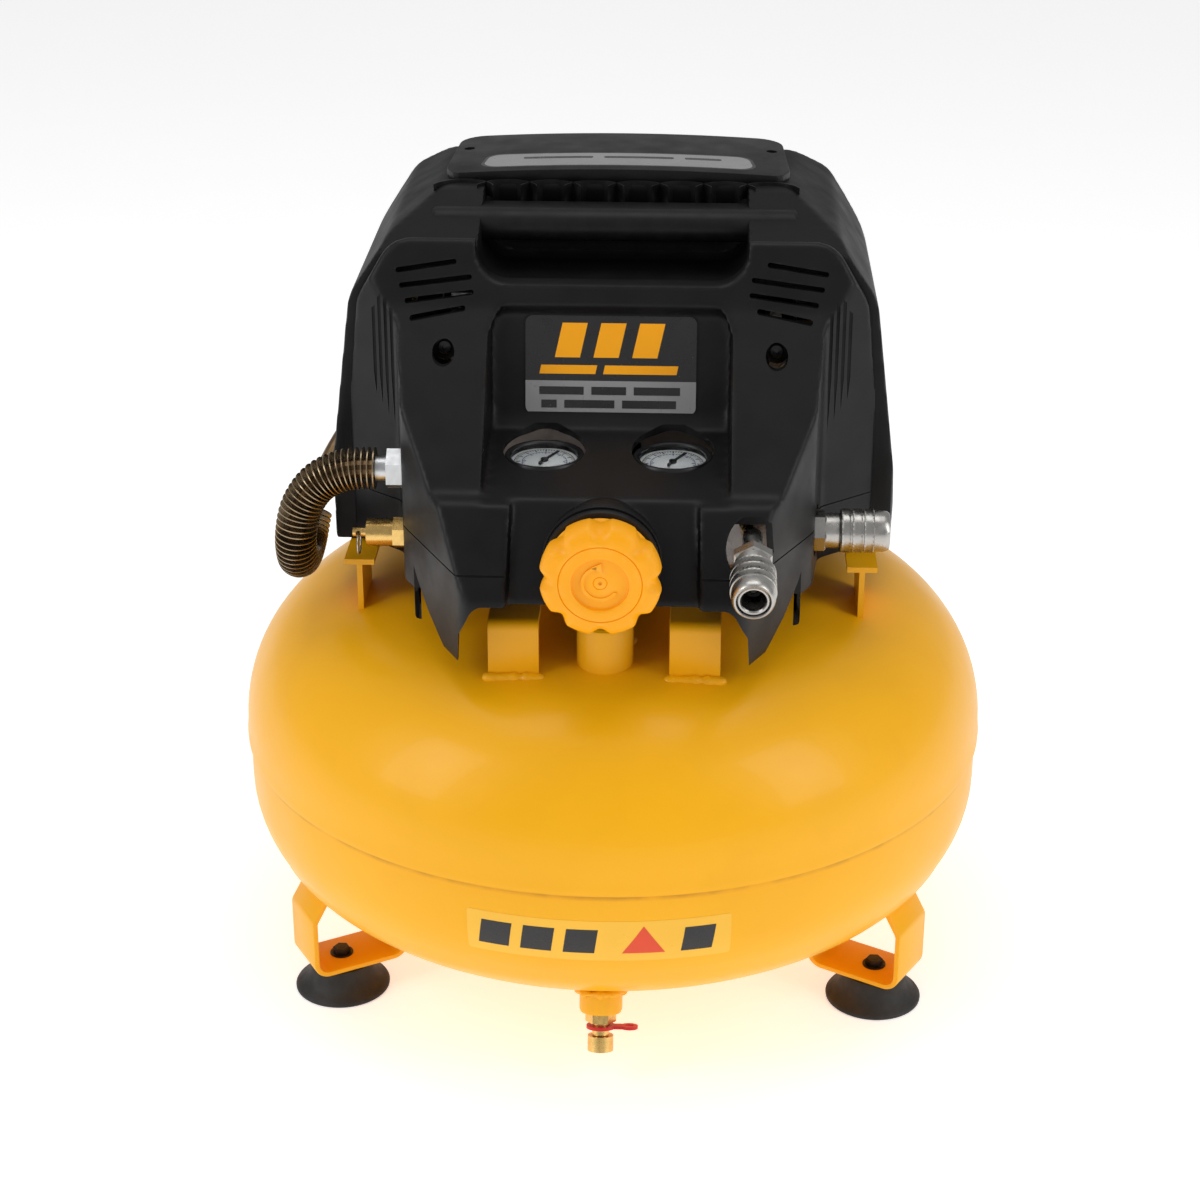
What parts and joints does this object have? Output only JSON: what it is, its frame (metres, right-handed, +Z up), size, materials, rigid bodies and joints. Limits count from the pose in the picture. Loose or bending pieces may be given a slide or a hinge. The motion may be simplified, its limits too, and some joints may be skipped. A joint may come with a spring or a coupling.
{
  "type": "pancake air compressor",
  "caption": "Portable pancake air compressor: flat painted tank on strap legs, motor and piston pump under a moulded shroud, regulator, gauges and quick couplers.",
  "frame": {"origin": "on the floor under the tank's axis", "axes": "+Z up along the tank's axis, -Y towards the front air panel, +X to the right seen from the front"},
  "size_m": [0.414, 0.414, 0.432],
  "materials": {
    "tank_paint": "gloss powder coat",
    "shroud_plastic": "fine texture, satin",
    "knob_plastic": "satin",
    "foot_rubber": "matt",
    "black_steel": "black oxide",
    "brass": "machined",
    "nickel": "nickel plate, knurled",
    "zinc": "zinc plate",
    "red_plastic": "gloss",
    "black_plastic": "gloss",
    "steel": "machined",
    "copper_wire": "varnished winding",
    "cast_alloy": "die cast",
    "grey_iron": "laminated",
    "fan_plastic": "moulded",
    "tube_metal": "tinned copper",
    "fin_metal": "bright strip",
    "lens": "clear"
  },
  "bodies": {
    "chassis": {"tank_upper": "tank_paint", "tank_lower": "tank_paint", "tank_bungs": "tank_paint", "leg_left": "tank_paint", "leg_right": "tank_paint", "leg_rear": "tank_paint", "feet": "foot_rubber", "foot_screws": "black_steel", "drain_valve": "brass", "drain_tether": "red_plastic", "pump_rails": "tank_paint", "cover_brackets": "tank_paint", "rubber_mounts": "foot_rubber", "motor_plate": "zinc", "motor_stator": "grey_iron", "motor_windings": "copper_wire", "shaft_bearings": "steel", "end_bracket": "cast_alloy", "crankcase": "cast_alloy", "cylinder_sleeve": "cast_alloy", "valve_plate": "steel", "cylinder_head": "cast_alloy", "head_bolts": "black_steel", "intake_filter": "black_plastic", "transfer_tube": "tube_metal", "tube_fins": "fin_metal", "tube_nut": "zinc", "check_valve": "brass", "manifold": "cast_alloy", "air_pipes": "brass", "regulator_body": "cast_alloy", "regulator_spring": "steel", "regulator_collar": "black_plastic", "gauge_cases": "nickel", "gauge_lenses": "lens", "safety_valve": "brass", "coupler_side": "nickel", "coupler_front": "nickel", "pressure_switch": "black_plastic", "cable_gland": "black_plastic", "front_cover": "shroud_plastic", "rear_cover": "shroud_plastic", "top_cap": "shroud_plastic", "handle_bar": "shroud_plastic", "vent_grille": "shroud_plastic"},
    "knob": {"regulator_knob": "knob_plastic", "regulator_stem": "zinc"},
    "needle_left": {"gauge_needle_left": "black_plastic"},
    "needle_right": {"gauge_needle_right": "black_plastic"},
    "safety_pin": {"safety_pin": "brass"},
    "safety_ring": {"safety_ring": "nickel"},
    "side_sleeve": {"sleeve_side": "nickel"},
    "front_sleeve": {"sleeve_front": "nickel"},
    "drain_knob": {"drain_knob": "brass"},
    "rocker": {"switch_rocker": "red_plastic"},
    "rotor": {"rotor_core": "grey_iron", "crankshaft": "steel", "cooling_fan": "fan_plastic"},
    "piston": {"piston_rod": "cast_alloy"}
  },
  "joints": [
    {"name": "knob_turn", "type": "hinge", "parent": "chassis", "child": "knob", "pos_m": [0, -0.18, 0.289], "axis": [0, -0.9976, -0.0698], "range_deg": [-720, 720]},
    {"name": "needle_left_turn", "type": "hinge", "parent": "chassis", "child": "needle_left", "pos_m": [-0.033, -0.07, 0.309], "axis": [0, 0, -1], "range_deg": [-180, 90]},
    {"name": "needle_right_turn", "type": "hinge", "parent": "chassis", "child": "needle_right", "pos_m": [0.033, -0.07, 0.309], "axis": [0, 0, -1], "range_deg": [-180, 90]},
    {"name": "safety_pull", "type": "slide", "parent": "chassis", "child": "safety_pin", "axis": [-1, 0, 0], "range_m": [0, 0.003], "stiffness_N_per_m": 2000, "springref_m": -0.002},
    {"name": "ring_swing", "type": "hinge", "parent": "safety_pin", "child": "safety_ring", "pos_m": [-0.1315, -0.064, 0.266], "axis": [0, 1, 0], "range_deg": [-15, 70]},
    {"name": "side_sleeve_slide", "type": "slide", "parent": "chassis", "child": "side_sleeve", "axis": [-1, 0, 0], "range_m": [0, 0.004], "stiffness_N_per_m": 1500, "springref_m": -0.003},
    {"name": "front_sleeve_slide", "type": "slide", "parent": "chassis", "child": "front_sleeve", "axis": [0, 0.9877, 0.1564], "range_m": [0, 0.004], "stiffness_N_per_m": 1500, "springref_m": -0.003},
    {"name": "drain_turn", "type": "hinge", "parent": "chassis", "child": "drain_knob", "pos_m": [0, -0.164, 0.0517], "axis": [0, -0.3256, -0.9455], "range_deg": [-720, 0]},
    {"name": "rocker_tilt", "type": "hinge", "parent": "chassis", "child": "rocker", "pos_m": [0.042, 0.161, 0.312], "axis": [1, 0, 0], "range_deg": [-12, 12]},
    {"name": "shaft_spin", "type": "hinge", "parent": "chassis", "child": "rotor", "pos_m": [0, 0.085, 0.312], "axis": [1, 0, 0], "continuous": true},
    {"name": "piston_stroke", "type": "slide", "parent": "chassis", "child": "piston", "axis": [0, 0, 1], "range_m": [0, 0.02]}
  ]
}
